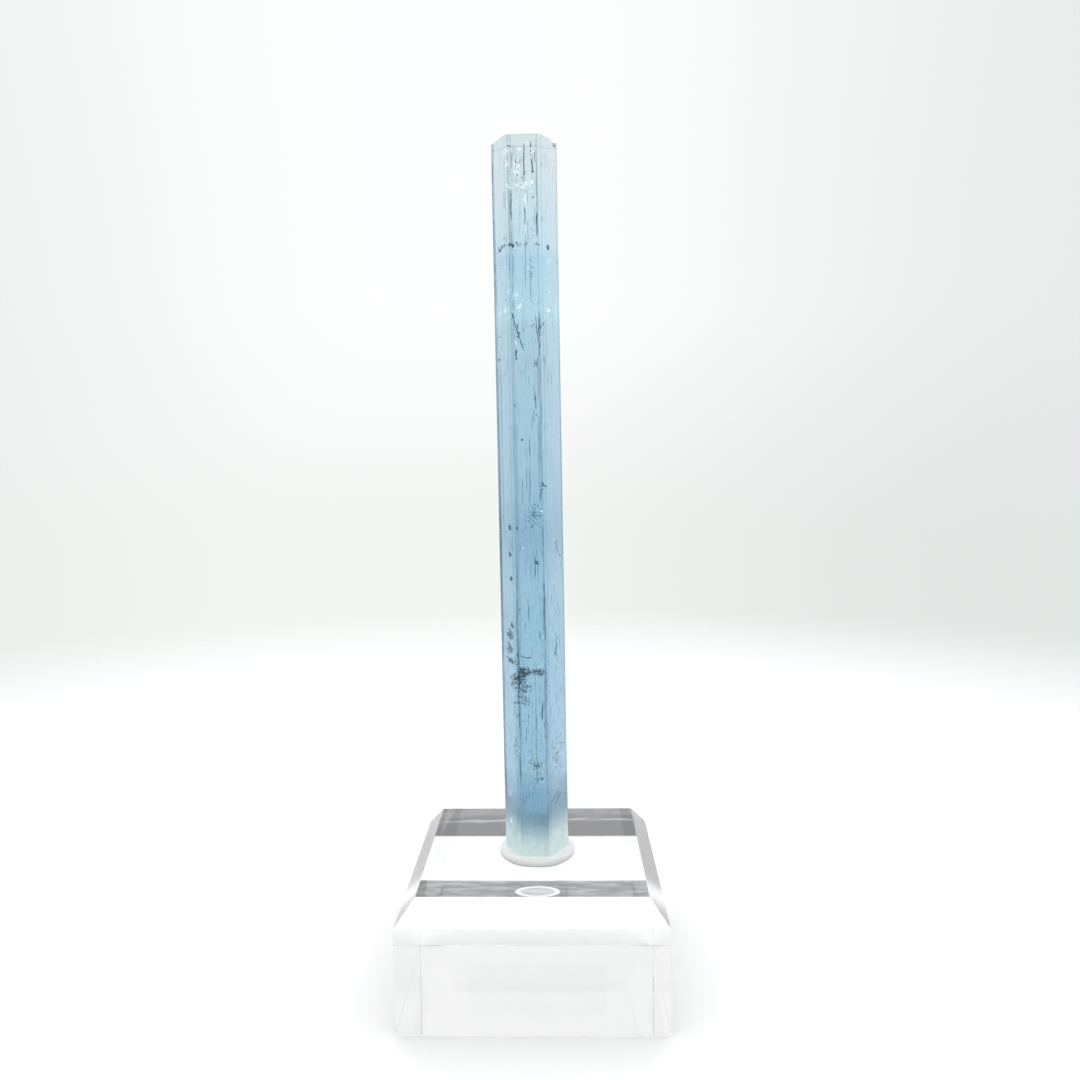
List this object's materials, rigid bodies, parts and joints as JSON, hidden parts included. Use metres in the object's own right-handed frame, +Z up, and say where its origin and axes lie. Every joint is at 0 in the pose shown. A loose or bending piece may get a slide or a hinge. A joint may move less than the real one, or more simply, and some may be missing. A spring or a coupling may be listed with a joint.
{
  "type": "aquamarine crystal on a display block",
  "caption": "Slim hexagonal aquamarine crystal standing upright in clear tack on a bevelled clear acrylic display block with blank film labels.",
  "frame": {"origin": "middle of the display block's underside, on the surface it stands on", "axes": "+Z up along the crystal; -Y is the front of the block, where the larger label film is; +X to the right seen from the front"},
  "size_m": [0.04, 0.0406, 0.1312],
  "materials": {
    "aquamarine": "clear pale blue beryl, glassy, finely striated along its length, with thin dark growth tubes and small healed cracks inside",
    "clear_tack": "soft translucent tack, satin",
    "acrylic": "water-clear cast acrylic with polished faces and bevels",
    "label_film": "thin clear label film, blank"
  },
  "bodies": {
    "root": {"crystal": "aquamarine", "tack_disc": "clear_tack", "display_block": "acrylic", "front_film": "label_film", "back_film": "label_film"}
  },
  "joints": []
}
